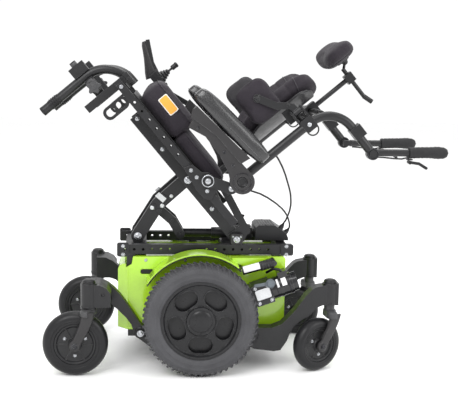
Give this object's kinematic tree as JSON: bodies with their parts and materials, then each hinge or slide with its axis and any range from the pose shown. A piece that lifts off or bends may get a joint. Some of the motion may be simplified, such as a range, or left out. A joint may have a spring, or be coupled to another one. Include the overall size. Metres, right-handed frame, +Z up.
{
  "type": "power wheelchair",
  "caption": "Mid-wheel-drive power wheelchair with sprung casters and a seat tilted back on lifting arms, with armrests, laterals, headrest and push handles.",
  "frame": {"origin": "on the floor, in the middle of the length and width of the chair with its seat tilted back", "axes": "+X to the rear, +Y to the right hand of the person seated, +Z up; the chair faces -X"},
  "size_m": [1.1311, 0.52, 0.9375],
  "materials": {
    "frame_black": "satin black powder coat",
    "shroud_green": "lime green moulded plastic",
    "battery": "matt black case",
    "motor_black": "gloss black enamel",
    "gear_metal": "cast aluminium",
    "module_plastic": "fine grained plastic",
    "actuator": "satin black",
    "damper_metal": "white and black enamel",
    "drive_tyre": "dark grey block tread rubber",
    "rim_plastic": "satin moulded rim",
    "lever_plastic": "moulded plastic",
    "fork_plastic": "fine grained charcoal grey",
    "caster_rubber": "smooth rubber",
    "seat_cloth": "charcoal knitted fabric",
    "shell_plastic": "satin",
    "pad_vinyl": "glossy black leatherette",
    "grip_foam": "foam rubber",
    "cable_rubber": "smooth sheath"
  },
  "bodies": {
    "chassis": {"base_frame": "frame_black", "base_rails": "frame_black", "shroud": "shroud_green", "batteries": "battery", "drive_motors": "motor_black", "gearboxes": "gear_metal", "power_module": "module_plastic", "tilt_actuator": "actuator", "suspension_dampers": "damper_metal", "recline_cable": "cable_rubber", "lever_cable": "cable_rubber"},
    "drive_wheel_left": {"drive_tyre_left": "drive_tyre", "drive_rim_left": "rim_plastic"},
    "drive_wheel_right": {"drive_tyre_right": "drive_tyre", "drive_rim_right": "rim_plastic"},
    "freewheel_left": {"freewheel_lever_left": "lever_plastic"},
    "freewheel_right": {"freewheel_lever_right": "lever_plastic"},
    "front_suspension_left": {"front_arm_left": "frame_black"},
    "rear_suspension_left": {"rear_arm_left": "frame_black"},
    "front_suspension_right": {"front_arm_right": "frame_black"},
    "rear_suspension_right": {"rear_arm_right": "frame_black"},
    "front_swivel_left": {"front_fork_left": "fork_plastic"},
    "front_wheel_left": {"front_caster_left": "caster_rubber"},
    "front_swivel_right": {"front_fork_right": "fork_plastic"},
    "front_wheel_right": {"front_caster_right": "caster_rubber"},
    "rear_swivel_left": {"rear_fork_left": "fork_plastic"},
    "rear_wheel_left": {"rear_caster_left": "caster_rubber"},
    "rear_swivel_right": {"rear_fork_right": "fork_plastic"},
    "rear_wheel_right": {"rear_caster_right": "caster_rubber"},
    "lifting_arms": {"lifting_arms": "frame_black"},
    "strut": {"tilt_strut": "frame_black"},
    "actuator_rod": {"actuator_rod": "actuator"},
    "seat": {"seat_beams": "frame_black", "seat_rails": "frame_black", "seat_pan": "frame_black", "seat_cushion": "seat_cloth"},
    "slider_left": {"slider_left": "fork_plastic"},
    "slider_right": {"slider_right": "fork_plastic"},
    "back": {"back_canes": "frame_black", "back_shell": "shell_plastic", "back_cushion": "seat_cloth"},
    "armrest_left": {"arm_link_left": "fork_plastic", "arm_pad_left": "pad_vinyl"},
    "armrest_right": {"arm_link_right": "fork_plastic", "arm_pad_right": "pad_vinyl", "joystick_box": "module_plastic"},
    "joystick": {"joystick_stick": "module_plastic"},
    "hanger_left": {"hanger_left": "frame_black"},
    "hanger_right": {"hanger_right": "frame_black"},
    "handle_left": {"push_handle_left": "frame_black", "handle_grip_left": "grip_foam"},
    "lever_left": {"handle_lever_left": "lever_plastic"},
    "handle_right": {"push_handle_right": "frame_black", "handle_grip_right": "grip_foam"},
    "lever_right": {"handle_lever_right": "lever_plastic"},
    "headrest_post": {"headrest_post": "frame_black"},
    "headrest_arm": {"headrest_arm": "frame_black"},
    "headrest": {"headrest_pad": "seat_cloth"},
    "lateral_left": {"lateral_pad_left": "seat_cloth"},
    "lateral_right": {"lateral_pad_right": "seat_cloth"}
  },
  "joints": [
    {"name": "drive_wheel_left_spin", "type": "hinge", "parent": "chassis", "child": "drive_wheel_left", "pos_m": [-0.1245, -0.231, 0.159], "axis": [0, 1, 0], "continuous": true},
    {"name": "drive_wheel_right_spin", "type": "hinge", "parent": "chassis", "child": "drive_wheel_right", "pos_m": [-0.1245, 0.231, 0.159], "axis": [0, 1, 0], "continuous": true},
    {"name": "freewheel_left_turn", "type": "hinge", "parent": "chassis", "child": "freewheel_left", "pos_m": [0.0685, -0.206, 0.253], "axis": [0, 1, 0], "range_deg": [0, 40]},
    {"name": "freewheel_right_turn", "type": "hinge", "parent": "chassis", "child": "freewheel_right", "pos_m": [0.0685, 0.206, 0.253], "axis": [0, 1, 0], "range_deg": [0, 40]},
    {"name": "front_suspension_left_swing", "type": "hinge", "parent": "chassis", "child": "front_suspension_left", "pos_m": [-0.2885, -0.147, 0.102], "axis": [0, 1, 0], "range_deg": [-5, 5], "stiffness_Nm_per_rad": 2500},
    {"name": "rear_suspension_left_swing", "type": "hinge", "parent": "chassis", "child": "rear_suspension_left", "pos_m": [0.0155, -0.17, 0.1], "axis": [0, 1, 0], "range_deg": [-5, 5], "stiffness_Nm_per_rad": 4000},
    {"name": "front_suspension_right_swing", "type": "hinge", "parent": "chassis", "child": "front_suspension_right", "pos_m": [-0.2885, 0.147, 0.102], "axis": [0, 1, 0], "range_deg": [-5, 5], "stiffness_Nm_per_rad": 2500},
    {"name": "rear_suspension_right_swing", "type": "hinge", "parent": "chassis", "child": "rear_suspension_right", "pos_m": [0.0155, 0.17, 0.1], "axis": [0, 1, 0], "range_deg": [-5, 5], "stiffness_Nm_per_rad": 4000},
    {"name": "front_swivel_left_turn", "type": "hinge", "parent": "front_suspension_left", "child": "front_swivel_left", "pos_m": [-0.4275, -0.21, 0.2], "axis": [0, 0, 1], "continuous": true},
    {"name": "front_wheel_left_spin", "type": "hinge", "parent": "front_swivel_left", "child": "front_wheel_left", "pos_m": [-0.4645, -0.21, 0.089], "axis": [0, 1, 0], "continuous": true},
    {"name": "front_swivel_right_turn", "type": "hinge", "parent": "front_suspension_right", "child": "front_swivel_right", "pos_m": [-0.4275, 0.21, 0.2], "axis": [0, 0, 1], "continuous": true},
    {"name": "front_wheel_right_spin", "type": "hinge", "parent": "front_swivel_right", "child": "front_wheel_right", "pos_m": [-0.4645, 0.21, 0.089], "axis": [0, 1, 0], "continuous": true},
    {"name": "rear_swivel_left_turn", "type": "hinge", "parent": "rear_suspension_left", "child": "rear_swivel_left", "pos_m": [0.2425, -0.17, 0.2], "axis": [0, 0, 1], "continuous": true},
    {"name": "rear_wheel_left_spin", "type": "hinge", "parent": "rear_swivel_left", "child": "rear_wheel_left", "pos_m": [0.20508, -0.18907, 0.075], "axis": [-0.454, 0.891, 0], "continuous": true},
    {"name": "rear_swivel_right_turn", "type": "hinge", "parent": "rear_suspension_right", "child": "rear_swivel_right", "pos_m": [0.2425, 0.17, 0.2], "axis": [0, 0, 1], "continuous": true},
    {"name": "rear_wheel_right_spin", "type": "hinge", "parent": "rear_swivel_right", "child": "rear_wheel_right", "pos_m": [0.2005, 0.17, 0.075], "axis": [0, 1, 0], "continuous": true},
    {"name": "tilt", "type": "hinge", "parent": "chassis", "child": "lifting_arms", "pos_m": [-0.2985, 0, 0.358], "axis": [0, 1, 0], "range_deg": [0, 50], "deforming": ["lever_cable", "recline_cable"]},
    {"name": "strut_turn", "type": "hinge", "parent": "lifting_arms", "child": "strut", "pos_m": [-0.23744, 0, 0.43077], "axis": [0, 1, 0], "range_deg": [-100, 0]},
    {"name": "rod_turn", "type": "hinge", "parent": "strut", "child": "actuator_rod", "pos_m": [-0.17637, 0, 0.358], "axis": [0, 1, 0], "range_deg": [0, 50]},
    {"name": "seat_turn", "type": "hinge", "parent": "lifting_arms", "child": "seat", "pos_m": [-0.15837, 0, 0.525], "axis": [0, 1, 0], "range_deg": [-100, 0]},
    {"name": "slider_left_turn", "type": "hinge", "parent": "seat", "child": "slider_left", "pos_m": [-0.01825, -0.08, 0.358], "axis": [0, 1, 0], "range_deg": [0, 50]},
    {"name": "slider_right_turn", "type": "hinge", "parent": "seat", "child": "slider_right", "pos_m": [-0.01825, 0.08, 0.358], "axis": [0, 1, 0], "range_deg": [0, 50]},
    {"name": "recline", "type": "hinge", "parent": "seat", "child": "back", "pos_m": [-0.10899, 0, 0.53771], "axis": [0, 1, 0], "range_deg": [0, 15]},
    {"name": "armrest_left_flip", "type": "hinge", "parent": "back", "child": "armrest_left", "pos_m": [-0.01873, -0.232, 0.53904], "axis": [0, 1, 0], "range_deg": [0, 90]},
    {"name": "armrest_right_flip", "type": "hinge", "parent": "back", "child": "armrest_right", "pos_m": [-0.01873, 0.232, 0.53904], "axis": [0, 1, 0], "range_deg": [0, 90]},
    {"name": "joystick_push", "type": "hinge", "parent": "armrest_right", "child": "joystick", "pos_m": [-0.22082, 0.23, 0.81722], "axis": [0, 1, 0], "range_deg": [-18, 18], "stiffness_Nm_per_rad": 0.2},
    {"name": "hanger_left_swing", "type": "hinge", "parent": "seat", "child": "hanger_left", "pos_m": [-0.33026, -0.17, 0.80763], "axis": [0.766, 0, 0.6428], "range_deg": [0, 85]},
    {"name": "hanger_right_swing", "type": "hinge", "parent": "seat", "child": "hanger_right", "pos_m": [-0.33026, 0.17, 0.80763], "axis": [0.766, 0, 0.6428], "range_deg": [-85, 0]},
    {"name": "handle_left_turn", "type": "hinge", "parent": "back", "child": "handle_left", "pos_m": [0.34272, -0.19, 0.61389], "axis": [0, 1, 0], "range_deg": [-30, 60]},
    {"name": "lever_left_squeeze", "type": "hinge", "parent": "handle_left", "child": "lever_left", "pos_m": [0.45672, -0.158, 0.58789], "axis": [0, 1, 0], "range_deg": [-12, 0], "stiffness_Nm_per_rad": 0.5},
    {"name": "handle_right_turn", "type": "hinge", "parent": "back", "child": "handle_right", "pos_m": [0.34272, 0.19, 0.61389], "axis": [0, 1, 0], "range_deg": [-30, 60]},
    {"name": "lever_right_squeeze", "type": "hinge", "parent": "handle_right", "child": "lever_right", "pos_m": [0.45672, 0.158, 0.58789], "axis": [0, 1, 0], "range_deg": [-12, 0], "stiffness_Nm_per_rad": 0.5},
    {"name": "headrest_height", "type": "slide", "parent": "back", "child": "headrest_post", "axis": [0.766, 0, 0.6428], "range_m": [-0.02, 0.05]},
    {"name": "headrest_reach", "type": "slide", "parent": "headrest_post", "child": "headrest_arm", "axis": [0.6428, 0, -0.766], "range_m": [-0.04, 0.008]},
    {"name": "headrest_tilt", "type": "hinge", "parent": "headrest_arm", "child": "headrest", "pos_m": [0.29706, 0, 0.86277], "axis": [0, 1, 0], "range_deg": [-15, 20]},
    {"name": "lateral_left_swing", "type": "hinge", "parent": "back", "child": "lateral_left", "pos_m": [0.13313, -0.184, 0.72521], "axis": [0.766, 0, 0.6428], "range_deg": [0, 60]},
    {"name": "lateral_right_swing", "type": "hinge", "parent": "back", "child": "lateral_right", "pos_m": [0.13313, 0.184, 0.72521], "axis": [0.766, 0, 0.6428], "range_deg": [-60, 0]}
  ],
  "couplings": [
    {"joint": "seat_turn", "follows": "tilt", "ratio": -2},
    {"joint": "strut_turn", "follows": "tilt", "ratio": -2},
    {"joint": "rod_turn", "follows": "tilt", "ratio": 1},
    {"joint": "slider_left_turn", "follows": "tilt", "ratio": 1},
    {"joint": "slider_right_turn", "follows": "tilt", "ratio": 1}
  ]
}
